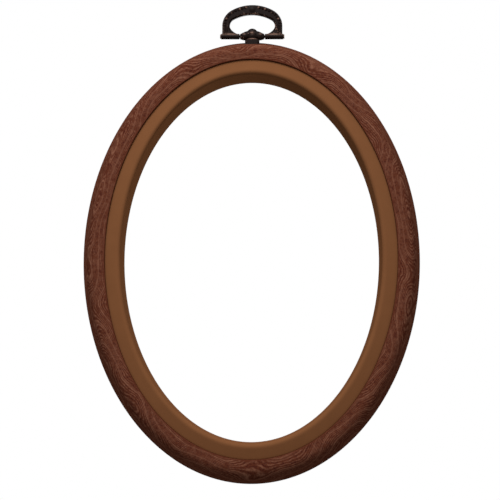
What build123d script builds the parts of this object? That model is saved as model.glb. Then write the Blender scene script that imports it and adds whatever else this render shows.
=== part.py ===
from build123d import *
import math
import os

# Oval embroidery hoop with a flexible outer ring and a cast hanger, in millimetres.
# It hangs upright in the XZ plane and faces -Y. The origin is the point inside the
# top of the bail that rests on a nail.

# Oval: the outside of the inner hoop, a 4 by 5.5 inch stock size
oval_width = 101.6
oval_height = 139.7
# Angles from the long sides, in degrees, where the oval's arcs meet
side_arc_angle = 25.0
end_arc_angle = 55.0

# Inner hoop: a rigid moulded ring whose front slopes back from its inner edge, and whose
# flange stops the outer hoop from behind. Depths are measured from the outer hoop's back
inner_width = 5.6
inner_front_depth = 10.1
inner_seam_depth = 8.6
inner_wall_draft = 1.0
inner_front_bevel = 1.2
inner_seam_bevel = 0.6
flange_reach = 2.8
flange_thickness = 2.2

# Outer hoop: a flexible moulding with a flat back, a leaning flank and a domed front
outer_width = 8.6
outer_crown_depth = 9.4
outer_crown_width = 2.3
outer_seam_bevel = 0.9
outer_edge_land = 0.5
outer_flank_lean = 22.0

# Fits between the two hoops
seat_gap = 0.2
shoulder_gap = 0.1

# Hinge of the hanger
pin_diameter = 1.0
pin_head_diameter = 1.5
pin_head_thickness = 0.3
pin_running_gap = 0.05
pin_above_hoop = 1.35
pin_forward = 3.5
hinge_side_gap = 0.18

# Bail: a cast arch, heavier at its top, whose legs spread over two knuckles
knuckle_diameter = 2.0
knuckle_length = 6.7
knuckle_edge_bevel = 0.15
bail_width = 21.6
bail_inside_height = 8.0
bail_thickness = 1.9
bail_side_band = 2.7
bail_top_band = 3.6
bail_edge_bevel = 0.5
leg_height = 3.9
foot_width = 5.0
# Turn of each corner arc of the arch, in degrees
arch_corner_turn = 60.0

# Bracket: a cast barrel with a ball boss and a pointed crest, on a base let into the hoop
barrel_length = 8.7
barrel_end_diameter = 1.95
barrel_lobe_diameter = 2.7
barrel_waist_diameter = 2.3
barrel_boss_diameter = 3.5
# Share of half the barrel's length where its lobe stands
lobe_place_share = 0.64
crest_height = 2.5
crest_end_height = 0.5
crest_thickness = 1.7
crest_edge_bevel = 0.3
base_width = 5.2
base_depth = 3.4
base_thickness = 2.0
base_corner_radius = 1.0
base_edge_bevel = 0.25
lip_width = 3.4
lip_depth = 2.9
base_gap = 0.05
seat_bite = 0.15
stem_diameter = 3.2
stem_length = 2.9
stem_gap = 0.1

# Screw and washer that clamp the bracket from inside the outer hoop
screw_diameter = 2.0
screw_head_diameter = 3.2
screw_head_thickness = 0.9
screw_slot_width = 0.5
screw_slot_depth = 0.4
screw_tip_gap = 0.3
thread_gap = 0.02
thread_end_wall = 0.5
washer_diameter = 3.4
washer_thickness = 0.4
washer_hole_gap = 0.12
pocket_gap = 0.15
head_recess = 0.3

# One overrun carries every cut past the face that it opens
overrun = 2.0

# Places that follow from the sizes
half_width = oval_width / 2
half_height = oval_height / 2
pin_z = -bail_inside_height
centre_z = pin_z - pin_above_hoop - outer_width - half_height
oval_top_z = centre_z + half_height
back_y = pin_forward
flange_back = shoulder_gap + flange_thickness
flank_slope = math.tan(math.radians(outer_flank_lean))
barrel_half = barrel_length / 2
knuckle_start = barrel_half + hinge_side_gap
knuckle_end = knuckle_start + knuckle_length
head_low_z = oval_top_z + seat_gap + head_recess
washer_low_z = head_low_z + screw_head_thickness
web_low_z = washer_low_z + washer_thickness
thread_top_z = pin_z - pin_diameter / 2 - pin_running_gap - thread_end_wall


def oval_radii():
    """Radii of the oval's side, shoulder and end arcs, which meet without a corner."""
    side = math.radians(side_arc_angle)
    end = math.radians(end_arc_angle)
    middle = (side + end) / 2
    reach = math.hypot(half_width * math.cos(middle), half_height * math.sin(middle))
    shoulder_radius = (half_width * half_height) ** 2 / reach**3
    across = half_width - shoulder_radius * (math.cos(side) - math.cos(end))
    up = half_height - shoulder_radius * (math.sin(end) - math.sin(side))
    side_sweep = 1 - math.cos(side)
    end_sweep = 1 - math.sin(end)
    pivot = side_sweep * end_sweep - math.cos(end) * math.sin(side)
    side_radius = (across * end_sweep - up * math.cos(end)) / pivot
    end_radius = (up * side_sweep - across * math.sin(side)) / pivot
    return side_radius, shoulder_radius, end_radius


def ring_arc(section, centre, radius, start, end):
    """Carry a section round a centre in the XZ plane, between two angles in degrees."""
    turn = math.radians(start)
    outwards = Vector(math.cos(turn), 0, math.sin(turn))
    across = Plane(
        origin=centre + outwards * radius,
        x_dir=outwards,
        z_dir=outwards.cross(Vector(0, -1, 0)),
    )
    return revolve(across * section, Axis(centre, (0, -1, 0)), end - start)


def ring(section):
    """Carry a section, drawn as outwards by forwards, round the arcs of the oval."""
    side_radius, shoulder_radius, end_radius = oval_radii()
    side_centre = Vector(half_width - side_radius, 0, 0)
    end_centre = Vector(0, 0, half_height - end_radius)
    turn = math.radians(side_arc_angle)
    lean = Vector(math.cos(turn), 0, math.sin(turn))
    shoulder_centre = side_centre + lean * (side_radius - shoulder_radius)
    side = ring_arc(section, side_centre, side_radius, -side_arc_angle, side_arc_angle)
    shoulder = ring_arc(section, shoulder_centre, shoulder_radius, side_arc_angle, end_arc_angle)
    end = ring_arc(section, end_centre, end_radius, end_arc_angle, 180 - end_arc_angle)
    upper = shoulder + end + mirror(shoulder, Plane.YZ)
    whole = side + upper + mirror(side, Plane.YZ) + mirror(upper, Plane.XY)
    return Pos(0, back_y, centre_z) * whole


def flank_place(depth):
    """How far out of the oval the outer hoop's flank stands at a depth."""
    return outer_width - (depth - outer_edge_land) * flank_slope


def outer_section():
    """Section of the outer hoop: flat back, leaning flank, dome and bore wall."""
    crown_corner = (flank_place(outer_crown_depth), outer_crown_depth)
    seam_corner = (seat_gap, outer_crown_depth)
    crown_bend = math.radians(90 - outer_flank_lean) / 2
    crown_radius = (crown_corner[0] - outer_crown_width) / math.tan(crown_bend)
    with BuildSketch() as sketch:
        with BuildLine():
            Polyline(
                (seat_gap, 0),
                (outer_width, 0),
                (outer_width, outer_edge_land),
                crown_corner,
                seam_corner,
                close=True,
            )
        make_face()
        fillet(sketch.vertices().sort_by_distance(crown_corner)[0], crown_radius)
        chamfer(sketch.vertices().sort_by_distance(seam_corner)[0], outer_seam_bevel)
    return sketch.sketch


def inner_section():
    """Section of the inner hoop: sloping front, straight seat wall and back flange."""
    draft = (inner_front_depth + flange_back) * math.tan(math.radians(inner_wall_draft))
    seam_corner = (0, inner_seam_depth)
    front_corner = (-inner_width + draft, inner_front_depth)
    with BuildSketch() as sketch:
        with BuildLine():
            Polyline(
                (-inner_width, -flange_back),
                (flange_reach, -flange_back),
                (flange_reach, -shoulder_gap),
                (0, -shoulder_gap),
                seam_corner,
                front_corner,
                close=True,
            )
        make_face()
        chamfer(sketch.vertices().sort_by_distance(seam_corner)[0], inner_seam_bevel)
        chamfer(sketch.vertices().sort_by_distance(front_corner)[0], inner_front_bevel)
    return sketch.sketch


def upright_bar(diameter, low, high):
    """A round bar up the middle line of the hanger, between two heights."""
    bar = Cylinder(diameter / 2, high - low, align=(Align.CENTER, Align.CENTER, Align.MIN))
    return Pos(0, 0, low) * bar


def cross_bar(diameter, start, end):
    """A round bar along the hinge, between two places across the part."""
    bar = Cylinder(diameter / 2, end - start)
    return Pos((start + end) / 2, 0, pin_z) * Rot(0, 90, 0) * bar


def seat_floor():
    """Height of the flat floor let into the flank for the bracket's base."""
    front_edge = pin_forward + base_depth / 2 + base_gap
    return oval_top_z + flank_place(front_edge) - seat_bite


def build_outer_hoop():
    """The outer hoop, with the bracket's seat on top and the screw's pocket inside."""
    floor_z = seat_floor()
    hoop = ring(outer_section())
    seat = RectangleRounded(
        base_width + 2 * base_gap, base_depth + 2 * base_gap, base_corner_radius + base_gap
    )
    hoop -= Pos(0, 0, floor_z) * extrude(seat, outer_width)
    hoop -= upright_bar(stem_diameter + 2 * stem_gap, floor_z - stem_length - stem_gap, floor_z + overrun)
    hoop -= upright_bar(screw_diameter + 2 * washer_hole_gap, web_low_z - overrun, floor_z)
    hoop -= upright_bar(washer_diameter + 2 * pocket_gap, oval_top_z - overrun, web_low_z)
    return hoop


def build_inner_hoop():
    """The inner hoop."""
    return ring(inner_section())


def build_pin():
    """The hinge pin, riveted over at both ends."""
    pin = cross_bar(pin_diameter, -knuckle_end, knuckle_end)
    for side in (-1, 1):
        ends = sorted((side * knuckle_end, side * (knuckle_end + pin_head_thickness)))
        pin += cross_bar(pin_head_diameter, *ends)
    return pin


def arch_arcs(half_span, top):
    """Add the corner, crown and corner arcs of an arch to the line being drawn."""
    turn = math.radians(arch_corner_turn)
    spread = (half_span - top + leg_height) / (math.cos(turn) + math.sin(turn) - 1)
    corner_place = spread * math.cos(turn)
    corner_radius = half_span - corner_place
    crown_radius = corner_radius + spread
    crown_turn = 180 - 2 * arch_corner_turn
    CenterArc((corner_place, leg_height), corner_radius, 0, arch_corner_turn)
    CenterArc((0, top - crown_radius), crown_radius, arch_corner_turn, crown_turn)
    CenterArc((-corner_place, leg_height), corner_radius, 180 - arch_corner_turn, arch_corner_turn)


def bail_outline():
    """The bail seen from the front: an arch round a window that narrows at its foot."""
    outside = bail_width / 2
    inside = outside - bail_side_band
    foot = outside - foot_width
    with BuildSketch() as sketch:
        with BuildLine():
            arch_arcs(outside, bail_inside_height + bail_top_band)
            Polyline((-outside, leg_height), (-outside, 0), (outside, 0), (outside, leg_height))
        make_face()
        with BuildLine():
            arch_arcs(inside, bail_inside_height)
            TangentArc((inside, leg_height), (foot, 0), tangent=(0, -1))
            TangentArc((-inside, leg_height), (-foot, 0), tangent=(0, -1))
            Line((-foot, 0), (foot, 0))
        make_face(mode=Mode.SUBTRACT)
    return sketch.sketch


def bail_knuckle(side):
    """One knuckle of the bail, its rims bevelled, still without its bore."""
    ends = sorted((side * knuckle_start, side * knuckle_end))
    bar = cross_bar(knuckle_diameter, *ends)
    return chamfer(bar.edges().filter_by(GeomType.CIRCLE), knuckle_edge_bevel)


def build_bail():
    """The bail: an arch with bevelled edges and two bored knuckles."""
    bail = extrude(Plane.XZ * bail_outline(), bail_thickness / 2, both=True)
    rims = bail.edges().filter_by(Plane.XZ)
    standing = [rim for rim in rims if rim.bounding_box().max.Z > leg_height / 2]
    bail = Pos(0, 0, pin_z) * chamfer(standing, bail_edge_bevel)
    for side in (-1, 1):
        bail += bail_knuckle(side)
    reach = knuckle_end + overrun
    return bail - cross_bar(pin_diameter, -reach, reach)


def bracket_barrel():
    """The turned barrel: a ball boss in the middle and a tapered lobe each side."""
    boss = barrel_boss_diameter / 2
    waist = barrel_waist_diameter / 2
    lean = math.acos(waist / boss)
    right_half = [
        (boss * math.sin(lean), waist),
        (barrel_half * lobe_place_share, barrel_lobe_diameter / 2),
        (barrel_half, barrel_end_diameter / 2),
        (barrel_half, 0),
    ]
    left_half = [(-place, radius) for place, radius in right_half]
    with BuildSketch() as sketch:
        with BuildLine():
            Polyline(*right_half, *reversed(left_half))
            ThreePointArc(left_half[0], (0, boss), right_half[0])
        make_face()
    return Pos(0, 0, pin_z) * revolve(sketch.sketch, Axis.X)


def bracket_crest():
    """The pointed crest that rises behind the barrel's boss."""
    outline = Polyline(
        (-barrel_half, -crest_end_height),
        (-barrel_half, crest_end_height),
        (0, crest_height),
        (barrel_half, crest_end_height),
        (barrel_half, -crest_end_height),
        close=True,
    )
    crest = extrude(Plane.XZ * make_face(outline), crest_thickness / 2, both=True)
    crest = chamfer(crest.edges().filter_by(Plane.XZ), crest_edge_bevel)
    return Pos(0, 0, pin_z) * crest


def build_bracket():
    """The bracket: barrel, crest, lip and base, and the threaded stem below."""
    floor_z = seat_floor()
    base = extrude(RectangleRounded(base_width, base_depth, base_corner_radius), base_thickness)
    base = chamfer(base.edges().group_by(Axis.Z)[-1], base_edge_bevel)
    lip_height = pin_z - barrel_waist_diameter / 2 - floor_z
    lip = extrude(RectangleRounded(lip_width, lip_depth, base_corner_radius), lip_height)
    bracket = bracket_barrel() + bracket_crest()
    bracket += Pos(0, 0, floor_z) * (base + lip)
    bracket += upright_bar(stem_diameter, floor_z - stem_length, floor_z)
    reach = barrel_half + overrun
    bracket -= cross_bar(pin_diameter + 2 * pin_running_gap, -reach, reach)
    bracket -= upright_bar(screw_diameter + 2 * thread_gap, floor_z - stem_length - overrun, thread_top_z)
    return bracket


def build_screw():
    """The screw: a slotted flat head below and a shank up into the stem."""
    screw = upright_bar(screw_head_diameter, head_low_z, washer_low_z)
    screw += upright_bar(screw_diameter, washer_low_z, thread_top_z - screw_tip_gap)
    slot = Box(
        screw_head_diameter + overrun,
        screw_slot_width,
        screw_slot_depth + overrun,
        align=(Align.CENTER, Align.CENTER, Align.MAX),
    )
    return screw - Pos(0, 0, head_low_z + screw_slot_depth) * slot


def build_washer():
    """The washer between the screw's head and the outer hoop's inner web."""
    disc = upright_bar(washer_diameter, washer_low_z, web_low_z)
    return disc - upright_bar(screw_diameter + 2 * washer_hole_gap, washer_low_z, web_low_z)


def main():
    """Build each piece and write it to its own file."""
    pieces = {
        "outer_hoop": build_outer_hoop(),
        "inner_hoop": build_inner_hoop(),
        "hanger_bail": build_bail(),
        "hinge_pin": build_pin(),
        "hanger_bracket": build_bracket(),
        "hanger_screw": build_screw(),
        "hanger_washer": build_washer(),
    }
    os.makedirs("parts", exist_ok=True)
    for name, piece in pieces.items():
        export_step(piece, f"parts/{name}.step")


main()
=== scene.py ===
"""Finish of an oval embroidery hoop: a wood-grain ring, a plain inner ring and a cast hanger."""

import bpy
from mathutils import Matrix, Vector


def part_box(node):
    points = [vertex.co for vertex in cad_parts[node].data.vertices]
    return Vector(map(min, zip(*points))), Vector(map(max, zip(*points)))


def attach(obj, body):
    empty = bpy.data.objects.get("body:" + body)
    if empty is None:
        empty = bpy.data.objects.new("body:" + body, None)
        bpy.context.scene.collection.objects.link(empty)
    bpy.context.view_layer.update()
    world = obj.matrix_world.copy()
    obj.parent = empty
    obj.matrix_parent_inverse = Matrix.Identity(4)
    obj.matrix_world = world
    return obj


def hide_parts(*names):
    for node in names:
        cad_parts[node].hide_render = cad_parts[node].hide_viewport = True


bl_info = {
    "name": "Embroidery Hoop Finish",
    "version": (1, 0, 0),
    "blender": (4, 5, 0),
    "location": "3D View > Sidebar > Hoop",
    "description": "Rings, hanger and stage of an oval embroidery hoop",
    "category": "Object",
}

import math

import bpy
import numpy as np
from mathutils import Quaternion, Vector

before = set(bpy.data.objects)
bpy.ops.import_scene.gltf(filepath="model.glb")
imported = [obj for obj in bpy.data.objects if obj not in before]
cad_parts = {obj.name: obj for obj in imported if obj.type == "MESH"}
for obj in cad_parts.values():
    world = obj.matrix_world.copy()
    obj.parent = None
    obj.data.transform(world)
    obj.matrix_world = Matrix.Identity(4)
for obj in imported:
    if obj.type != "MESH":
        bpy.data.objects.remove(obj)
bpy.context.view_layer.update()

MM = 0.001
outer_low, outer_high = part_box("outer_hoop")
inner_low, inner_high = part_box("inner_hoop")
pin_low, pin_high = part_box("hinge_pin")
centre_z = (outer_low.z + outer_high.z) / 2
back_y = outer_high.y
pin_z = (pin_low.z + pin_high.z) / 2

# Fineness of the rings: points round the oval, and distance between the points of a section
OUTER_AROUND = 960
OUTER_STEP = 0.42 * MM
INNER_AROUND = 720
INNER_STEP = 0.5 * MM

# Points closer than this are one: along a ring's section, and in a copied CAD mesh
SECTION_MERGE = 0.005 * MM
MESH_MERGE = 0.001 * MM

# Edges of a ring that turn by more than this are shaded sharp
SHARP_TURN = math.radians(40)

# How far a cutter reaches past what it cuts
OVERRUN = 2 * MM

# Whorls of the grain: place round the hoop from its top, clockwise, as a share of the way
# round; distance out from the seam, length along and width across the ring in millimetres;
# and how far the grain lines are pushed aside in millimetres
GRAIN_WHORLS = [
    (0.012, 4.6, 4.0, 2.2, 3.2),
    (0.100, 5.2, 14.0, 3.4, 3.0),
    (0.215, 4.8, 15.0, 2.9, 7.5),
    (0.300, 5.0, 13.0, 3.2, 3.4),
    (0.392, 5.6, 12.0, 3.6, 3.0),
    (0.525, 5.4, 9.0, 3.2, 2.2),
    (0.590, 4.6, 12.0, 3.0, 3.6),
    (0.675, 4.8, 13.0, 3.1, 4.2),
    (0.735, 5.6, 10.0, 3.0, 2.6),
    (0.803, 4.6, 15.0, 2.8, 8.5),
    (0.890, 5.2, 11.0, 3.1, 5.0),
    (0.992, 3.4, 4.0, 2.0, 2.8),
]

# Slants of the grain: waves round the hoop, push in millimetres, phase in turns and the
# phase's change for each millimetre out from the seam
GRAIN_SLANTS = [
    (5, 3.4, 0.10, 0.010),
    (9, 2.4, 0.62, -0.022),
    (16, 1.3, 0.35, 0.035),
    (27, 0.6, 0.80, -0.050),
]

# Drops raised on the bracket, in millimetres: place across, in depth and over the pin, half
# width, half depth and half height; then the lean in radians. A drop that isn't in the middle
# has a twin on the other side. The body's depths count from the pin, the face's from its front
BRACKET_BODY = [
    (0, -0.35, 0.95, 2.0, 1.2, 1.9, 0),  # crest
    (0, -0.35, 0.75, 3.6, 1.2, 1.35, 0),  # shoulders of the crest
    (2.6, -0.3, 0, 1.9, 1.4, 1.45, 0.08),  # arms
    (3.7, 0, 0, 0.72, 1.2, 1.15, 0),  # ends of the arms
]
BRACKET_FACE = [
    (0, 0.45, 0.85, 0.75, 0.5, 0.7, 0),  # boss
    (0, 0.42, -1.3, 1.8, 0.45, 0.3, 0),  # lip
    (1.75, 0.75, -2.3, 0.85, 0.72, 0.6, 0),  # feet
    (2.9, 0.55, 0.5, 1.1, 0.42, 0.3, 0.3),  # leaves
]

# Ribs on the bail's legs: distance in from the leg's outside in millimetres, lean in radians
LEG_RIBS = [(0.75, 0.02), (1.75, 0.16)]

# Places painted bright on the hanger as highlights, in millimetres: across and over the pin; reach
# across, in depth and up; then how much. A place that isn't in the middle has a twin on the other side
BRACKET_PAINTED_HIGHLIGHTS = [
    (0, 0.95, 0.55, 0.6, 0.5, 0.3),  # boss
    (0, -1.25, 1.7, 0.7, 0.22, 0.4),  # lip
    (3.0, 0.6, 0.5, 0.8, 0.3, 0.3),  # leaves
]
# The knuckles' strip is rubbed along their tops and also paints the highlight that falls there
KNUCKLES_WEAR_AND_HIGHLIGHT = [(8.2, 0.65, 3.0, 0.4, 0.3, 0.42)]

# Painted highlight spots between the beads: way down the arch from its top in millimetres, and how
# much
ARCH_PAINTED_HIGHLIGHTS = [(2.2, 0.6), (4.6, 0.75), (10.7, 0.55)]

# The stage: how far the floor lies below the hoop, its radius, the strength of the room's light
# from below and from above, and the lamps' size, names, places and powers
FLOOR_DROP = 60 * MM
FLOOR_RADIUS = 0.45
ROOM_LIGHT = (0.1, 0.6)
LAMP_SIZE = 0.5
LAMPS = [
    ("key_lamp", (-0.08, -0.48, 0.44), 4.85),
    ("back_lamp", (0.2, 0.7, -0.2), 3.6),
]


class HoopSizes(bpy.types.PropertyGroup):
    """Sizes of the two rings, of the grain pressed into the outer one and of the hanger."""

    flange_reach: bpy.props.FloatProperty(
        name="Flange reach", description="How far the inner ring's back flange reaches out",
        default=2.8 * MM, unit="LENGTH")
    shoulder_gap: bpy.props.FloatProperty(
        name="Shoulder gap", description="Gap between the outer ring's back and the flange",
        default=0.1 * MM, unit="LENGTH")
    inner_width: bpy.props.FloatProperty(
        name="Inner ring width", description="Width of the inner ring, from its hole to the seam",
        default=5.6 * MM, unit="LENGTH")
    inner_seam_depth: bpy.props.FloatProperty(
        name="Inner seam depth", description="Depth of the inner ring where it meets the seam",
        default=8.6 * MM, unit="LENGTH")
    seat_gap: bpy.props.FloatProperty(
        name="Seat gap", description="Gap between the two rings, closed up as they grip each other",
        default=0.03 * MM, unit="LENGTH")
    crown_start: bpy.props.FloatProperty(
        name="Crown start", description="Distance from the seam to where the outer dome begins",
        default=2.3 * MM, unit="LENGTH")
    flank_lean: bpy.props.FloatProperty(
        name="Flank lean", description="Lean of the outer ring's flank",
        default=math.radians(22), subtype="ANGLE")
    grain_spacing: bpy.props.FloatProperty(
        name="Grain spacing", description="Distance from one grain line to the next",
        default=0.86 * MM, unit="LENGTH")
    streak_spacing: bpy.props.FloatProperty(
        name="Streak spacing", description="Distance from one pale streak to the next",
        default=4.6 * MM, unit="LENGTH")
    grain_depth: bpy.props.FloatProperty(
        name="Grain depth", description="Depth of the pressed grain",
        default=0.09 * MM, unit="LENGTH")
    seat_width: bpy.props.FloatProperty(
        name="Seat width", description="Width of the bracket's seat in the outer ring",
        default=5.3 * MM, unit="LENGTH")
    seat_depth: bpy.props.FloatProperty(
        name="Seat depth", description="Depth of the bracket's seat from front to back",
        default=3.5 * MM, unit="LENGTH")
    stem_height: bpy.props.FloatProperty(
        name="Stem height", description="Height of the bracket's stem below its base",
        default=2.9 * MM, unit="LENGTH")
    bail_half_width: bpy.props.FloatProperty(
        name="Bail half width", description="From the hanger's middle to the outside of a leg",
        default=10.8 * MM, unit="LENGTH")
    bail_leg_height: bpy.props.FloatProperty(
        name="Bail leg height", description="Height over the hinge where the arch begins",
        default=3.9 * MM, unit="LENGTH")
    bail_top_band: bpy.props.FloatProperty(
        name="Bail top band", description="Height of the arch at its top",
        default=3.6 * MM, unit="LENGTH")
    window_half_width: bpy.props.FloatProperty(
        name="Window half width", description="Half width of the bail's oval window",
        default=8.1 * MM, unit="LENGTH")
    window_half_height: bpy.props.FloatProperty(
        name="Window half height", description="Half height of the bail's oval window",
        default=4.05 * MM, unit="LENGTH")
    bead_pitch: bpy.props.FloatProperty(
        name="Bead pitch", description="Distance between the beads along the arch",
        default=1.25 * MM, unit="LENGTH")
    cast_grain: bpy.props.FloatProperty(
        name="Cast grain", description="Finest detail that the castings hold",
        default=0.08 * MM, unit="LENGTH")


class HoopColours(bpy.types.PropertyGroup):
    """Colours of the object's finishes, as sRGB hex values."""

    vinyl_ground: bpy.props.StringProperty(
        name="Vinyl ground", description="Red-brown ground of the outer ring", default="5B2F20")
    vinyl_shade: bpy.props.StringProperty(
        name="Vinyl shade", description="Darkest stain of the outer ring", default="461F18")
    vinyl_wipe: bpy.props.StringProperty(
        name="Vinyl wipe", description="Pale wipe left in the pressed grain", default="825643")
    inner_tan: bpy.props.StringProperty(
        name="Inner tan", description="Moulded plastic of the inner ring", default="7E5234")
    bronze_dark: bpy.props.StringProperty(
        name="Bronze", description="Antique plating of the hanger", default="170D0A")
    # The rubbed bronze colours the rubbed high points and also the painted highlights on the hanger
    bronze_rub_and_highlight: bpy.props.StringProperty(
        name="Rubbed bronze", description="High points of the hanger, rubbed bright", default="B08A78")
    steel: bpy.props.StringProperty(
        name="Steel", description="Plating of the screw and its washer", default="C9C6BE")


class HoopCamera(bpy.types.PropertyGroup):
    """The photograph's viewpoint."""

    distance: bpy.props.FloatProperty(
        name="Distance", description="From the aim point to the camera",
        default=421.7 * MM, unit="LENGTH")
    elevation: bpy.props.FloatProperty(
        name="Elevation", description="Height of the camera over the aim point",
        default=math.radians(-7.28), subtype="ANGLE")
    azimuth: bpy.props.FloatProperty(
        name="Azimuth", description="Turn of the camera towards the right",
        default=math.radians(0.97), subtype="ANGLE")
    roll: bpy.props.FloatProperty(
        name="Roll", description="Turn of the camera about its own line of sight",
        default=math.radians(0.27), subtype="ANGLE")
    aim: bpy.props.FloatVectorProperty(
        name="Aim", description="Point in the middle of the picture",
        default=(-0.45 * MM, 0.0, -85.25 * MM), subtype="XYZ", unit="LENGTH")
    lens: bpy.props.FloatProperty(
        name="Lens", description="Focal length on a sensor 36 mm wide", default=86.51)


# Materials


def linear(code):
    """Turn an sRGB hex colour into linear values with full alpha."""
    parts = [int(code[place:place + 2], 16) / 255 for place in (0, 2, 4)]
    return [p / 12.92 if p <= 0.04045 else ((p + 0.055) / 1.055) ** 2.4 for p in parts] + [1.0]


def darker(colour, share):
    """A linear colour brought down to a share of its brightness."""
    return [part * share for part in colour[:3]] + [1.0]


def add_node(tree, kind, settings=None, inputs=None):
    """Add a node to a tree, set what it is and what feeds it, and return it."""
    node = tree.nodes.new(kind)
    for name, value in (settings or {}).items():
        setattr(node, name, value)
    for key, value in (inputs or {}).items():
        if isinstance(value, bpy.types.NodeSocket):
            tree.links.new(value, node.inputs[key])
        else:
            node.inputs[key].default_value = value
    return node


def new_material(name):
    """Start a node material and return it with its empty tree."""
    material = bpy.data.materials.new(name)
    material.use_nodes = True
    material.node_tree.nodes.clear()
    return material, material.node_tree


def finish_material(tree, shader):
    """Lead a shader to the material's output."""
    add_node(tree, "ShaderNodeOutputMaterial", inputs={"Surface": shader.outputs[0]})


def grain_lines(tree, field, spacing, edge, core):
    """Draw a line along each of a field's levels, which lie a spacing apart.

    The line fades in from its edge to its core. Both are distances from the middle between
    two lines, as shares of the spacing, so that 0.5 is the line itself.
    """
    levels = add_node(tree, "ShaderNodeMath", {"operation": "MULTIPLY"}, {0: field, 1: MM / spacing})
    saw = add_node(tree, "ShaderNodeMath", {"operation": "FRACT"}, {0: levels.outputs[0]})
    centred = add_node(tree, "ShaderNodeMath", {"operation": "SUBTRACT"}, {0: saw.outputs[0], 1: 0.5})
    ridge = add_node(tree, "ShaderNodeMath", {"operation": "ABSOLUTE"}, {0: centred.outputs[0]})
    line = add_node(tree, "ShaderNodeMapRange", {"interpolation_type": "SMOOTHSTEP"}, {
        "Value": ridge.outputs[0], "From Min": edge, "From Max": core})
    return line.outputs["Result"]


def embossed_vinyl():
    """Flexible PVC, its wood grain pressed in and wiped paler: matt, red-brown and streaked."""
    sizes = bpy.context.scene.hoop_sizes
    colours = bpy.context.scene.hoop_colours
    sway_reach = 1.5  # millimetres by which a fine waver pushes the lines aside
    streak_share = 0.35  # how much of the wipe a streak carries
    speck_share = 0.4  # how much the specks add to the pressed height
    material, tree = new_material("embossed_woodgrain_vinyl")
    place = add_node(tree, "ShaderNodeTexCoord").outputs["Object"]
    field = add_node(tree, "ShaderNodeAttribute", {"attribute_name": "grain_field"}).outputs["Fac"]
    seam = add_node(tree, "ShaderNodeAttribute", {"attribute_name": "seam_distance"}).outputs["Fac"]
    waver = add_node(tree, "ShaderNodeTexNoise", inputs={
        "Vector": place, "Scale": 1 / (3.6 * MM), "Detail": 3.0, "Roughness": 0.6})
    grain = add_node(tree, "ShaderNodeMath", {"operation": "MULTIPLY_ADD"}, {
        0: waver.outputs["Fac"], 1: sway_reach, 2: field}).outputs[0]
    # How far apart the lines and the streaks lie was chosen so that they show
    line = grain_lines(tree, grain, sizes.grain_spacing, 0.16, 0.42)
    streak = grain_lines(tree, grain, sizes.streak_spacing, 0.34, 0.48)
    patches = add_node(tree, "ShaderNodeTexNoise", inputs={
        "Vector": place, "Scale": 1 / (1.3 * MM), "Detail": 4.0, "Roughness": 0.7})
    strength = add_node(tree, "ShaderNodeMapRange", inputs={
        "Value": patches.outputs["Fac"], "From Min": 0.4, "From Max": 0.6,
        "To Min": 0.1, "To Max": 0.85})
    drawn = add_node(tree, "ShaderNodeMath", {"operation": "MULTIPLY"}, {
        0: line, 1: strength.outputs["Result"]})
    marks = add_node(tree, "ShaderNodeMath", {"operation": "MULTIPLY_ADD", "use_clamp": True}, {
        0: streak, 1: streak_share, 2: drawn.outputs[0]})
    # The pressing fades out on the smooth band beside the seam, whose plain darker ground also stands
    # as painted shade of the seam's crease, and a little down the outer flank
    band = add_node(tree, "ShaderNodeMapRange", inputs={
        "Value": seam, "From Min": 0.3, "From Max": 1.1})
    flank = add_node(tree, "ShaderNodeMapRange", inputs={
        "Value": seam, "From Min": 7.5, "From Max": 11.0, "To Min": 1.0, "To Max": 0.75})
    pressed = add_node(tree, "ShaderNodeMath", {"operation": "MULTIPLY"}, {
        0: band.outputs["Result"], 1: flank.outputs["Result"]})
    wipe = add_node(tree, "ShaderNodeMath", {"operation": "MULTIPLY"}, {
        0: marks.outputs[0], 1: pressed.outputs[0]}).outputs[0]
    specks = add_node(tree, "ShaderNodeTexNoise", inputs={
        "Vector": place, "Scale": 1 / (0.6 * MM), "Detail": 3.0, "Roughness": 0.7})
    pores = add_node(tree, "ShaderNodeMapRange", {"interpolation_type": "SMOOTHSTEP"}, {
        "Value": specks.outputs["Fac"], "From Min": 0.52, "From Max": 0.4})
    stain = add_node(tree, "ShaderNodeMath", {"operation": "MULTIPLY"}, {
        0: pores.outputs["Result"], 1: pressed.outputs[0]})
    ground = add_node(tree, "ShaderNodeMix", {"data_type": "RGBA"}, {
        "Factor": stain.outputs[0], "A": linear(colours.vinyl_ground),
        "B": linear(colours.vinyl_shade)})
    colour = add_node(tree, "ShaderNodeMix", {"data_type": "RGBA"}, {
        "Factor": wipe, "A": ground.outputs["Result"], "B": linear(colours.vinyl_wipe)})
    height = add_node(tree, "ShaderNodeMath", {"operation": "MULTIPLY_ADD"}, {
        0: specks.outputs["Fac"], 1: speck_share, 2: wipe})
    bump = add_node(tree, "ShaderNodeBump", inputs={
        "Height": height.outputs[0], "Strength": 0.35, "Distance": sizes.grain_depth})
    roughness = add_node(tree, "ShaderNodeMapRange", inputs={
        "Value": wipe, "To Min": 0.6, "To Max": 0.75})
    # No gloss: the real plastics look matt, and the pale room would grey them where it glances
    shader = add_node(tree, "ShaderNodeBsdfPrincipled", inputs={
        "Base Color": colour.outputs["Result"], "Roughness": roughness.outputs["Result"],
        "Normal": bump.outputs[0], "IOR": 1.5, "Specular IOR Level": 0.0})
    finish_material(tree, shader)
    return material


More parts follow.
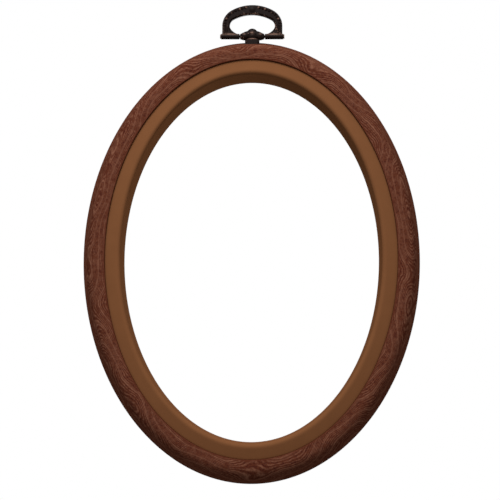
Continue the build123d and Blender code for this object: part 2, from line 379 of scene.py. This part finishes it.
def moulded_plastic():
    """Injection-moulded polystyrene with a fine texture: an even matt tan, faintly clouded."""
    colours = bpy.context.scene.hoop_colours
    material, tree = new_material("satin_moulded_polystyrene")
    place = add_node(tree, "ShaderNodeTexCoord").outputs["Object"]
    cloud = add_node(tree, "ShaderNodeTexNoise", inputs={
        "Vector": place, "Scale": 1 / (6.0 * MM), "Detail": 4.0})
    tan = linear(colours.inner_tan)
    colour = add_node(tree, "ShaderNodeMix", {"data_type": "RGBA"}, {
        "Factor": cloud.outputs["Fac"], "A": tan, "B": darker(tan, 0.86)})
    grit = add_node(tree, "ShaderNodeTexNoise", inputs={
        "Vector": place, "Scale": 1 / (0.5 * MM), "Detail": 3.0})
    bump = add_node(tree, "ShaderNodeBump", inputs={
        "Height": grit.outputs["Fac"], "Strength": 0.25, "Distance": 0.02 * MM})
    roughness = add_node(tree, "ShaderNodeMapRange", inputs={
        "Value": cloud.outputs["Fac"], "To Min": 0.5, "To Max": 0.62})
    shader = add_node(tree, "ShaderNodeBsdfPrincipled", inputs={
        "Base Color": colour.outputs["Result"], "Roughness": roughness.outputs["Result"],
        "Normal": bump.outputs[0], "IOR": 1.59, "Specular IOR Level": 0.0})
    finish_material(tree, shader)
    return material


def antique_bronze():
    """Zinc casting under a near-black patina, rubbed to pinkish bronze where it stands proud, with
    highlights painted on in the same rubbed bronze.
    """
    colours = bpy.context.scene.hoop_colours
    material, tree = new_material("antiqued_bronze_casting")
    place = add_node(tree, "ShaderNodeTexCoord").outputs["Object"]
    edges = add_node(tree, "ShaderNodeNewGeometry").outputs["Pointiness"]
    proud = add_node(tree, "ShaderNodeMapRange", {"interpolation_type": "SMOOTHSTEP"}, {
        "Value": edges, "From Min": 0.515, "From Max": 0.56})
    patches = add_node(tree, "ShaderNodeTexNoise", inputs={
        "Vector": place, "Scale": 1 / (0.8 * MM), "Detail": 4.0, "Roughness": 0.65})
    broken = add_node(tree, "ShaderNodeMapRange", inputs={
        "Value": patches.outputs["Fac"], "From Min": 0.42, "From Max": 0.66, "To Max": 0.8})
    edge_rub = add_node(tree, "ShaderNodeMath", {"operation": "MULTIPLY"}, {
        0: proud.outputs["Result"], 1: broken.outputs["Result"]})
    # Painted highlights on the knuckles, bracket and arch, stored with the knuckles' rubbed strip
    wear_and_highlight = add_node(tree, "ShaderNodeAttribute", {"attribute_name": "wear_and_highlight"}).outputs["Fac"]
    rub_and_highlight = add_node(tree, "ShaderNodeMath", {"operation": "MAXIMUM"}, {
        0: edge_rub.outputs[0], 1: wear_and_highlight})
    colour = add_node(tree, "ShaderNodeMix", {"data_type": "RGBA"}, {
        "Factor": rub_and_highlight.outputs[0], "A": linear(colours.bronze_dark),
        "B": linear(colours.bronze_rub_and_highlight)})
    bump = add_node(tree, "ShaderNodeBump", inputs={
        "Height": patches.outputs["Fac"], "Strength": 0.5, "Distance": 0.06 * MM})
    roughness = add_node(tree, "ShaderNodeMapRange", inputs={
        "Value": patches.outputs["Fac"], "To Min": 0.3, "To Max": 0.5})
    # A faint gloss, because the pale room would grey the patina where it glances
    shader = add_node(tree, "ShaderNodeBsdfPrincipled", inputs={
        "Base Color": colour.outputs["Result"], "Metallic": rub_and_highlight.outputs[0],
        "Roughness": roughness.outputs["Result"], "Normal": bump.outputs[0],
        "Specular IOR Level": 0.06})
    finish_material(tree, shader)
    return material


def plated_steel():
    """Turned steel with zinc plating: pale and bright, finely mottled by its tool marks."""
    colours = bpy.context.scene.hoop_colours
    material, tree = new_material("zinc_plated_turned_steel")
    place = add_node(tree, "ShaderNodeTexCoord").outputs["Object"]
    marks = add_node(tree, "ShaderNodeTexNoise", inputs={
        "Vector": place, "Scale": 1 / (0.25 * MM), "Detail": 3.0})
    bright = linear(colours.steel)
    colour = add_node(tree, "ShaderNodeMix", {"data_type": "RGBA"}, {
        "Factor": marks.outputs["Fac"], "A": bright, "B": darker(bright, 0.72)})
    bump = add_node(tree, "ShaderNodeBump", inputs={
        "Height": marks.outputs["Fac"], "Strength": 0.3, "Distance": 0.02 * MM})
    roughness = add_node(tree, "ShaderNodeMapRange", inputs={
        "Value": marks.outputs["Fac"], "To Min": 0.25, "To Max": 0.42})
    shader = add_node(tree, "ShaderNodeBsdfPrincipled", inputs={
        "Base Color": colour.outputs["Result"], "Metallic": 1.0,
        "Roughness": roughness.outputs["Result"], "Normal": bump.outputs[0]})
    finish_material(tree, shader)
    return material


def white_paint():
    """Emulsion rolled on a board: matt white, with the faint mottle of the roller."""
    material, tree = new_material("matt_white_paint")
    place = add_node(tree, "ShaderNodeTexCoord").outputs["Object"]
    dim, bright = (0.80, 0.80, 0.80, 1), (0.84, 0.84, 0.84, 1)
    bounced = (0.2, 0.2, 0.2, 1)
    mottle = add_node(tree, "ShaderNodeTexNoise", inputs={"Vector": place, "Scale": 1 / (25 * MM)})
    tone = add_node(tree, "ShaderNodeMix", {"data_type": "RGBA"}, {
        "Factor": mottle.outputs["Fac"], "A": dim, "B": bright})
    # The floor is white to the camera alone, so that it throws little light up at the hoop
    path = add_node(tree, "ShaderNodeLightPath")
    seen = add_node(tree, "ShaderNodeMix", {"data_type": "RGBA"}, {
        "Factor": path.outputs["Is Camera Ray"], "A": bounced, "B": tone.outputs["Result"]})
    shader = add_node(tree, "ShaderNodeBsdfPrincipled", inputs={
        "Base Color": seen.outputs["Result"], "Roughness": 0.9})
    finish_material(tree, shader)
    return material


# Modelling


def deselect_all():
    """Leave nothing selected, so that an operator acts on the new piece alone."""
    if bpy.context.object and bpy.context.object.mode != "OBJECT":
        bpy.ops.object.mode_set(mode="OBJECT")
    bpy.ops.object.select_all(action="DESELECT")


def finish_with(piece, kind, **settings):
    """Give a piece a modifier and apply it."""
    deselect_all()
    piece.select_set(True)
    bpy.context.view_layer.objects.active = piece
    modifier = piece.modifiers.new(kind.title(), kind)
    for name, value in settings.items():
        setattr(modifier, name, value)
    bpy.ops.object.modifier_apply(modifier=modifier.name)


def cut_away(piece, cutter):
    """Cut a cutter's shape out of a piece and throw the cutter away."""
    finish_with(piece, "BOOLEAN", operation="DIFFERENCE", object=cutter, solver="EXACT")
    bpy.data.objects.remove(cutter)


def block(low, high):
    """Add a block between two corners."""
    deselect_all()
    middle = (Vector(low) + Vector(high)) / 2
    bpy.ops.mesh.primitive_cube_add(size=1, location=middle)
    piece = bpy.context.object
    piece.scale = Vector(high) - Vector(low)
    bpy.ops.object.transform_apply(location=False, rotation=False, scale=True)
    return piece


def vertex_places(piece):
    """Places of a piece's vertices, one row each."""
    points = np.empty(len(piece.data.vertices) * 3, np.float32)
    piece.data.vertices.foreach_get("co", points)
    return points.reshape(-1, 3).astype(float)


def store(piece, name, values):
    """Store a number for each of a piece's vertices, for its material to read by name."""
    attribute = piece.data.attributes.new(name, "FLOAT", "POINT")
    attribute.data.foreach_set("value", values.astype(np.float32))


def dress(mesh, material):
    """Give a mesh one material in place of what it had."""
    mesh.materials.clear()
    mesh.materials.append(material)


def put_on(piece, material, body, slot, *nodes):
    """Give a finished piece its material and the body it rides on, and hide what it replaces; its slot
    is not used.
    """
    dress(piece.data, material)
    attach(piece, body)
    if nodes:
        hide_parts(*nodes)


# The two rings


def straight(start, end, step):
    """Points between two places, not counting the two."""
    pieces = max(1, round((end - start).length / step))
    return [start.lerp(end, piece / pieces) for piece in range(1, pieces)]


def rounded_outline(corners, step):
    """Points of a closed outline whose corners (across, forwards, radius) are rounded."""
    points = []
    count = len(corners)
    for index, (across, forwards, radius) in enumerate(corners):
        corner = Vector((across, forwards))
        before = (corner - Vector(corners[index - 1][:2])).normalized()
        after = (Vector(corners[(index + 1) % count][:2]) - corner).normalized()
        turn = math.atan2(before.cross(after), before.dot(after))
        start = corner - before * radius * math.tan(abs(turn) / 2)
        if points:
            points += straight(points[-1], start, step)
        points.append(start)
        if radius:
            pieces = max(3, math.ceil(abs(turn) * radius / step))
            side = Vector((-before.y, before.x)) * math.copysign(radius, turn)
            centre = start + side
            arm = -side
            for piece in range(1, pieces + 1):
                angle = turn * piece / pieces
                points.append(centre + Vector((
                    arm.x * math.cos(angle) - arm.y * math.sin(angle),
                    arm.x * math.sin(angle) + arm.y * math.cos(angle))))
    return points + straight(points[-1], points[0], step)


def oval_halves():
    """Half the width and half the height of the seam's oval."""
    reach = bpy.context.scene.hoop_sizes.flange_reach
    return inner_high.x - reach, (inner_high.z - inner_low.z) / 2 - reach


def make_ring(name, outline, around):
    """Draw the oval, extrude and resize it along a section, and close it on itself."""
    half_width, half_height = oval_halves()
    deselect_all()
    first = outline[0]
    bpy.ops.mesh.primitive_circle_add(
        vertices=around, radius=half_width + first.x, rotation=(math.pi / 2, 0, 0),
        location=(0, back_y - first.y, centre_z))
    ring = bpy.context.object
    ring.name = name
    bpy.ops.object.transform_apply(location=True, rotation=True, scale=True)
    bpy.ops.object.mode_set(mode="EDIT")
    bpy.ops.mesh.select_all(action="SELECT")
    taller = (half_height + first.x) / (half_width + first.x)
    bpy.ops.transform.resize(value=(1, 1, taller), center_override=(0, 0, centre_z))
    here = first
    for point in outline[1:] + [first]:
        bpy.ops.mesh.extrude_edges_move(TRANSFORM_OT_translate={"value": (0, here.y - point.y, 0)})
        wider = (half_width + point.x) / (half_width + here.x)
        taller = (half_height + point.x) / (half_height + here.x)
        bpy.ops.transform.resize(value=(wider, 1, taller), center_override=(0, 0, centre_z))
        here = point
    bpy.ops.mesh.select_all(action="SELECT")
    bpy.ops.mesh.remove_doubles(threshold=SECTION_MERGE)
    bpy.ops.mesh.normals_make_consistent(inside=False)
    bpy.ops.object.mode_set(mode="OBJECT")
    bpy.ops.object.shade_smooth_by_angle(angle=SHARP_TURN)
    return ring


def cut_screw_pocket(ring):
    """Cut the round pocket in which the screw and its washer sit, up from the ring's inside."""
    screw_low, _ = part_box("hanger_screw")
    washer_low, washer_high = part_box("hanger_washer")
    margin = 0.3 * MM
    width = washer_high.x - washer_low.x + margin
    low = screw_low.z - OVERRUN
    deselect_all()
    bpy.ops.mesh.primitive_cylinder_add(
        vertices=64, radius=width / 2, depth=washer_high.z - low,
        location=(0, 0, (low + washer_high.z) / 2))
    cut_away(ring, bpy.context.object)


def cut_bracket_seat(ring):
    """Sink the flat seat for the bracket's base into the top of the ring, its corners rounded."""
    sizes = bpy.context.scene.hoop_sizes
    bracket_low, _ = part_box("hanger_bracket")
    floor_z = bracket_low.z + sizes.stem_height
    half_width = sizes.seat_width / 2
    half_depth = sizes.seat_depth / 2
    corner_round = 1.0 * MM
    cutter = block(
        (-half_width, -half_depth, floor_z), (half_width, half_depth, outer_high.z + OVERRUN))
    finish_with(cutter, "BEVEL", width=corner_round, segments=6, limit_method="ANGLE")
    cut_away(ring, cutter)


def ring_places(points):
    """Share of the way round and distance out of the seam of points on a ring, and the way."""
    half_width, half_height = oval_halves()
    across, up = points[:, 0], points[:, 2] - centre_z
    # Each round brings the oval that is so much larger than the seam's nearer to the point
    out = np.zeros(len(points))
    for _ in range(8):
        wide, tall = half_width + out, half_height + out
        miss = (across / wide) ** 2 + (up / tall) ** 2 - 1
        out += miss / (2 * across ** 2 / wide ** 3 + 2 * up ** 2 / tall ** 3)
    turn = np.arctan2(across / (half_width + out), up / (half_height + out)) % (2 * math.pi)
    # The way is measured along the seam in steps of a quarter of a degree
    steps = np.linspace(0, 2 * math.pi, 4 * 360 + 1)
    lengths = np.hypot(half_width * np.cos(steps), half_height * np.sin(steps))
    way = np.concatenate([[0], np.cumsum((lengths[1:] + lengths[:-1]) / 2 * (steps[1] - steps[0]))])
    return np.interp(turn, steps, way / way[-1]), out, way[-1]


def section_length(outline, out, forwards):
    """Distance along a section, from its start, of the section's point nearest each place."""
    corners = np.array([tuple(point) for point in outline])
    gaps = np.hypot(*(np.roll(corners, -1, axis=0) - corners).T)
    lengths = np.concatenate([[0], np.cumsum(gaps[:-1])])
    nearest = np.empty(len(out), int)
    batch = 20000  # places compared at once, to save memory
    for start in range(0, len(out), batch):
        part = slice(start, start + batch)
        far = np.hypot(out[part, None] - corners[:, 0], forwards[part, None] - corners[:, 1])
        nearest[part] = far.argmin(axis=1)
    return lengths[nearest]


def grain_field(share, outwards, way):
    """The height whose level lines are the grain, in millimetres."""
    field = outwards.copy()
    for waves, push, phase, drift in GRAIN_SLANTS:
        field += push * np.sin(2 * math.pi * (waves * share + phase + drift * outwards))
    for place, out, length, width, push in GRAIN_WHORLS:
        along = ((share - place + 0.5) % 1 - 0.5) * way / MM
        field += push * np.exp(-(along / length) ** 2 - ((outwards - out) / width) ** 2)
    return field


class HOOP_OT_outer_ring(bpy.types.Operator):
    """Model the outer ring with its pressed wood grain."""

    bl_idname = "hoop.outer_ring"
    bl_label = "Outer ring"

    def execute(self, context):
        sizes = context.scene.hoop_sizes
        half_width, _ = oval_halves()
        width = outer_high.x - half_width
        depth = outer_high.y - outer_low.y
        bore_round = 0.1 * MM
        seam_round = 0.18 * MM
        edge_round = 0.15 * MM
        # The dome runs from the crown's start into the flank, which leans out to a narrow land
        land = 0.5 * MM
        crown_corner = width - (depth - land) * math.tan(sizes.flank_lean)
        bend = (math.pi / 2 - sizes.flank_lean) / 2
        crown_round = (crown_corner - sizes.crown_start) / math.tan(bend)
        outline = rounded_outline([
            (sizes.seat_gap, 0, bore_round),
            (sizes.seat_gap, depth, seam_round),
            (crown_corner, depth, crown_round),
            (width, land, 0),
            (width, 0, edge_round),
        ], OUTER_STEP)
        ring = make_ring("outer_ring", outline, OUTER_AROUND)
        cut_screw_pocket(ring)
        cut_bracket_seat(ring)
        # Distances out count from just inside the seam, so that its corner is on the smooth band and
        # its painted shade
        seam_start = depth - 0.4 * MM
        points = vertex_places(ring)
        share, out, way = ring_places(points)
        outwards = (section_length(outline, out, back_y - points[:, 1]) - seam_start) / MM
        store(ring, "grain_field", grain_field(share, outwards, way))
        store(ring, "seam_distance", outwards)
        put_on(ring, embossed_vinyl(), "outer", "woodgrain_vinyl", "outer_hoop")
        return {"FINISHED"}


class HOOP_OT_inner_ring(bpy.types.Operator):
    """Model the plain inner ring with its back flange."""

    bl_idname = "hoop.inner_ring"
    bl_label = "Inner ring"

    def execute(self, context):
        sizes = context.scene.hoop_sizes
        back = back_y - inner_high.y
        edge_round = 0.1 * MM
        flange_round = 0.3 * MM
        seam_round = 0.12 * MM
        front_round = 1.2 * MM
        draft_angle = math.radians(1)
        # The sharp corner stands this much in front of the rounded edge that it becomes
        corner_excess = 0.37 * MM
        front = back_y - inner_low.y + corner_excess
        draft = (front - back) * math.tan(draft_angle)
        outline = rounded_outline([
            (-sizes.inner_width, back, edge_round),
            (sizes.flange_reach, back, flange_round),
            (sizes.flange_reach, -sizes.shoulder_gap, flange_round),
            (0, -sizes.shoulder_gap, edge_round),
            (0, sizes.inner_seam_depth, seam_round),
            (-sizes.inner_width + draft, front, front_round),
        ], INNER_STEP)
        ring = make_ring("inner_ring", outline, INNER_AROUND)
        put_on(ring, moulded_plastic(), "inner", "tan_plastic", "inner_hoop")
        return {"FINISHED"}


# The hanger


def merged_copy(node, name):
    """Copy a CAD node's mesh into a new piece and merge its loose triangles."""
    deselect_all()
    piece = bpy.data.objects.new(name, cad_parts[node].data.copy())
    bpy.context.collection.objects.link(piece)
    piece.select_set(True)
    bpy.context.view_layer.objects.active = piece
    bpy.ops.object.mode_set(mode="EDIT")
    bpy.ops.mesh.select_all(action="SELECT")
    bpy.ops.mesh.remove_doubles(threshold=MESH_MERGE)
    bpy.ops.object.mode_set(mode="OBJECT")
    return piece


def round_drop():
    """Model the round drop that every raised detail of the castings is a copy of."""
    deselect_all()
    bpy.ops.mesh.primitive_uv_sphere_add(segments=24, ring_count=16, radius=1)
    return bpy.context.object


def raise_drop(drop, place, size, lean=0.0):
    """Copy the drop to a place, with its half sizes and its turn in the front view."""
    raised = drop.copy()
    raised.data = drop.data.copy()
    raised.location = place
    raised.rotation_euler = (0, lean, 0)
    raised.scale = size
    bpy.context.collection.objects.link(raised)
    return raised


def sides(across):
    """Both sides of the hanger for a place off its middle, or one for a place on it."""
    return (-1, 1) if across else (1,)


def raised_drops(drop, rows, from_y):
    """Raise a table's drops, their depths counted from a plane."""
    raised = []
    for across, depth, up, *size, lean in rows:
        for side in sides(across):
            place = (side * across * MM, from_y + depth * MM, pin_z + up * MM)
            raised.append(raise_drop(drop, place, [part * MM for part in size], side * lean))
    return raised


def rubbed_and_highlight_places(rows, y):
    """A table's rubbed and highlighted places, which all lie in one plane."""
    places = []
    for across, up, *reach, amount in rows:
        for side in sides(across):
            place = (side * across * MM, y, pin_z + up * MM)
            places.append((place, [part * MM for part in reach], amount))
    return places


def cast(piece, raised):
    """Fuse a piece with what is raised on it and soften it all, as a casting comes out."""
    grain = bpy.context.scene.hoop_sizes.cast_grain
    deselect_all()
    for part in [*raised, piece]:
        part.select_set(True)
    bpy.context.view_layer.objects.active = piece
    bpy.ops.object.join()
    finish_with(piece, "REMESH", mode="VOXEL", voxel_size=grain)
    finish_with(piece, "SMOOTH", factor=0.5, iterations=4)
    bpy.ops.object.shade_smooth()


def paint_wear_and_highlight(piece, places):
    """Mark where a casting is rubbed bright or painted with a highlight: round each place, within its
    reach, and how much.
    """
    points = vertex_places(piece)
    wear_and_highlight = np.zeros(len(points))
    for place, reach, amount in places:
        far = ((points - np.array(place)) / np.array(reach)) ** 2
        wear_and_highlight = np.maximum(wear_and_highlight, amount * np.exp(-far.sum(axis=1)))
    store(piece, "wear_and_highlight", wear_and_highlight)


def arch_place(top, inset, way):
    """Place and turn a way down from the top of the bail's arch of three arcs, set in from it."""
    sizes = bpy.context.scene.hoop_sizes
    half_span = sizes.bail_half_width - inset
    rise = top - inset
    leg_height = sizes.bail_leg_height
    corner_turn = math.radians(60)
    spread = (half_span - rise + leg_height) / (math.cos(corner_turn) + math.sin(corner_turn) - 1)
    corner_place = spread * math.cos(corner_turn)
    corner_radius = half_span - corner_place
    crown_radius = corner_radius + spread
    crown_way = crown_radius * (math.pi / 2 - corner_turn)
    if way < crown_way:
        turn = math.pi / 2 - way / crown_radius
        return crown_radius * math.cos(turn), rise + crown_radius * (math.sin(turn) - 1), turn
    turn = max(0, corner_turn - (way - crown_way) / corner_radius)
    across = corner_place + corner_radius * math.cos(turn)
    return across, leg_height + corner_radius * math.sin(turn), turn


def leg_flares():
    """Fill the corners where the bail's legs curve in to the knuckles, below its oval window."""
    sizes = bpy.context.scene.hoop_sizes
    start = 4.7 * MM
    end = sizes.bail_half_width - 1.0 * MM
    half_depth = 0.65 * MM
    height = 3.6 * MM
    window_z = pin_z + sizes.window_half_height - 0.2 * MM
    flares = []
    for side in (-1, 1):
        left, right = sorted((side * start, side * end))
        flare = block((left, -half_depth, pin_z), (right, half_depth, pin_z + height))
        deselect_all()
        bpy.ops.mesh.primitive_cylinder_add(
            vertices=96, radius=1, depth=1, rotation=(math.pi / 2, 0, 0), location=(0, 0, window_z))
        window = bpy.context.object
        window.scale = (sizes.window_half_width, sizes.window_half_height, 1)
        cut_away(flare, window)
        flares.append(flare)
    return flares


def model_bail(bronze, drop):
    """The bail: a row of beads along the arch, a smooth collar at its top and ribbed legs."""
    sizes = bpy.context.scene.hoop_sizes
    low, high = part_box("hanger_bail")
    top = high.z - pin_z
    half_band = sizes.bail_top_band / 2
    raised_y = low.y + 0.1 * MM
    collar = (1.9 * MM, 1.25 * MM, half_band - 0.05 * MM)
    bead = (0.42 * sizes.bead_pitch, 0.42 * MM, 0.6 * MM)
    bead_inset = 0.8 * MM
    rib = (0.34 * MM, 0.36 * MM, 2.3 * MM)
    rib_z = pin_z + 2.6 * MM
    raised = [raise_drop(drop, (0, 0, high.z - half_band), collar), *leg_flares()]
    for side in (-1, 1):
        way = collar[0] + sizes.bead_pitch / 2
        turn = 1
        while turn > 0:
            across, up, turn = arch_place(top, bead_inset, way)
            place = (side * across, raised_y, pin_z + up)
            raised.append(raise_drop(drop, place, bead, side * (math.pi / 2 - turn)))
            way += sizes.bead_pitch
        for inset, lean in LEG_RIBS:
            place = (side * (sizes.bail_half_width - inset * MM), raised_y, rib_z)
            raised.append(raise_drop(drop, place, rib, -side * lean))
    bail = merged_copy("hanger_bail", "bail_casting")
    cast(bail, raised)
    # The knuckles are rubbed along their tops, which also paints their highlight, and the arch gets
    # painted highlight spots between the beads
    knuckle_y = -0.75 * MM
    spot = (0.26 * MM, 0.6 * MM, 0.26 * MM)
    spot_inset = 0.9 * MM
    places = rubbed_and_highlight_places(KNUCKLES_WEAR_AND_HIGHLIGHT, knuckle_y)
    for way, amount in ARCH_PAINTED_HIGHLIGHTS:
        across, up, _ = arch_place(top, spot_inset, way * MM)
        for side in (-1, 1):
            places.append(((side * across, low.y, pin_z + up), spot, amount))
    paint_wear_and_highlight(bail, places)
    put_on(bail, bronze, "bail", "antique_bronze", "hanger_bail")


def model_bracket(bronze, drop):
    """The bracket: a domed crest, a leaf along each arm of its barrel and a lip below, with highlights
    painted on the boss, lip and leaves.
    """
    low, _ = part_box("hanger_bracket")
    raised = raised_drops(drop, BRACKET_BODY, 0) + raised_drops(drop, BRACKET_FACE, low.y)
    bracket = merged_copy("hanger_bracket", "bracket_casting")
    cast(bracket, raised)
    # Painted highlights on the boss, the lip and the leaves
    paint_wear_and_highlight(bracket, rubbed_and_highlight_places(BRACKET_PAINTED_HIGHLIGHTS, low.y))
    put_on(bracket, bronze, "outer", "antique_bronze", "hanger_bracket")


class HOOP_OT_hanger(bpy.types.Operator):
    """Model the cast bail and bracket, and finish their hinge pin."""

    bl_idname = "hoop.hanger"
    bl_label = "Hanger"

    def execute(self, context):
        bronze = antique_bronze()
        drop = round_drop()
        model_bail(bronze, drop)
        model_bracket(bronze, drop)
        bpy.data.objects.remove(drop)
        dress(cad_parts["hinge_pin"].data, bronze)
        return {"FINISHED"}


class HOOP_OT_fasteners(bpy.types.Operator):
    """Finish the screw and the washer that hold the bracket from inside the outer ring."""

    bl_idname = "hoop.fasteners"
    bl_label = "Fasteners"

    def execute(self, context):
        steel = plated_steel()
        for node in ("hanger_screw", "hanger_washer"):
            dress(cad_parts[node].data, steel)
        return {"FINISHED"}


# The stage


def lay_floor():
    """Lay a round pale floor some way below the hoop."""
    deselect_all()
    bpy.ops.mesh.primitive_circle_add(
        vertices=96, radius=FLOOR_RADIUS, fill_type="NGON",
        location=(0, 0, outer_low.z - FLOOR_DROP))
    floor = bpy.context.object
    floor.name = "floor"
    bpy.ops.object.transform_apply(location=True, rotation=True, scale=True)
    floor.data.materials.append(white_paint())


def studio_world():
    """Soft light, stronger from above; what the camera and mirrors see of it is white."""
    world = bpy.data.worlds.new("studio")
    world.use_nodes = True
    tree = world.node_tree
    tree.nodes.clear()
    path = add_node(tree, "ShaderNodeLightPath")
    mirrored = add_node(tree, "ShaderNodeMath", {"operation": "MAXIMUM"}, {
        0: path.outputs["Is Camera Ray"], 1: path.outputs["Is Glossy Ray"]})
    seen = add_node(tree, "ShaderNodeMath", {"operation": "MAXIMUM"}, {
        0: mirrored.outputs[0], 1: path.outputs["Is Transmission Ray"]})
    split = add_node(tree, "ShaderNodeSeparateXYZ", inputs={
        "Vector": add_node(tree, "ShaderNodeTexCoord").outputs["Generated"]})
    below, above = ROOM_LIGHT
    rise = add_node(tree, "ShaderNodeMapRange", inputs={
        "Value": split.outputs["Z"], "From Min": -1.0, "From Max": 1.0,
        "To Min": below, "To Max": above})
    light = add_node(tree, "ShaderNodeBackground", inputs={
        "Color": (1, 1, 1, 1), "Strength": rise.outputs["Result"]})
    white = add_node(tree, "ShaderNodeBackground", inputs={"Color": (1, 1, 1, 1), "Strength": 1.0})
    mix = add_node(tree, "ShaderNodeMixShader", inputs={
        0: seen.outputs[0], 1: light.outputs[0], 2: white.outputs[0]})
    add_node(tree, "ShaderNodeOutputWorld", inputs={"Surface": mix.outputs[0]})
    bpy.context.scene.world = world


def hang_lamp(name, place, power):
    """Hang one square soft lamp and point it at the middle of the hoop."""
    deselect_all()
    bpy.ops.object.light_add(type="AREA", location=place)
    lamp = bpy.context.object
    lamp.name = name
    lamp.data.shape = "SQUARE"
    lamp.data.size = LAMP_SIZE
    lamp.data.energy = power
    lamp.rotation_mode = "QUATERNION"
    lamp.rotation_quaternion = (Vector((0, 0, centre_z)) - Vector(place)).to_track_quat("-Z", "Y")


def place_camera():
    """Put the camera where the photograph was taken from."""
    scene = bpy.context.scene
    view = scene.hoop_camera
    back = Vector((
        math.sin(view.azimuth) * math.cos(view.elevation),
        -math.cos(view.azimuth) * math.cos(view.elevation),
        math.sin(view.elevation)))
    deselect_all()
    bpy.ops.object.camera_add(location=Vector(view.aim) + back * view.distance)
    camera = bpy.context.object
    camera.rotation_mode = "QUATERNION"
    camera.rotation_quaternion = (-back).to_track_quat("-Z", "Y") @ Quaternion((0, 0, 1), view.roll)
    camera.data.sensor_width = 36
    camera.data.lens = view.lens
    camera.data.clip_start = 10 * MM
    scene.camera = camera


class HOOP_OT_stage(bpy.types.Operator):
    """Lay the pale floor, hang the soft lamps and set up the camera."""

    bl_idname = "hoop.stage"
    bl_label = "Stage"

    def execute(self, context):
        lay_floor()
        studio_world()
        for name, place, power in LAMPS:
            hang_lamp(name, place, power)
        place_camera()
        context.scene.view_settings.view_transform = "Standard"
        return {"FINISHED"}


# The add-on


class HOOP_PT_panel(bpy.types.Panel):
    """Sizes, colours and steps of the hoop in the sidebar."""

    bl_idname = "HOOP_PT_panel"
    bl_label = "Embroidery hoop"
    bl_space_type = "VIEW_3D"
    bl_region_type = "UI"
    bl_category = "Hoop"

    def draw(self, context):
        for group in (context.scene.hoop_sizes, context.scene.hoop_colours, context.scene.hoop_camera):
            box = self.layout.box()
            for name in group.__annotations__:
                box.prop(group, name)
        for step in STEPS:
            self.layout.operator(step.bl_idname)


GROUPS = {"hoop_sizes": HoopSizes, "hoop_colours": HoopColours, "hoop_camera": HoopCamera}
STEPS = [HOOP_OT_outer_ring, HOOP_OT_inner_ring, HOOP_OT_hanger, HOOP_OT_fasteners, HOOP_OT_stage]


def register():
    """Register the classes and hang the settings on the scene."""
    for item in [*GROUPS.values(), *STEPS, HOOP_PT_panel]:
        bpy.utils.register_class(item)
    for name, group in GROUPS.items():
        setattr(bpy.types.Scene, name, bpy.props.PointerProperty(type=group))


def unregister():
    """Take the settings and the classes away again."""
    for name in GROUPS:
        delattr(bpy.types.Scene, name)
    for item in [HOOP_PT_panel, *reversed(STEPS), *reversed(GROUPS.values())]:
        bpy.utils.unregister_class(item)


def main():
    """Build the hoop step by step."""
    register()
    bpy.ops.hoop.outer_ring()
    bpy.ops.hoop.inner_ring()
    bpy.ops.hoop.hanger()
    bpy.ops.hoop.fasteners()
    bpy.ops.hoop.stage()


if __name__ == "__main__":
    main()
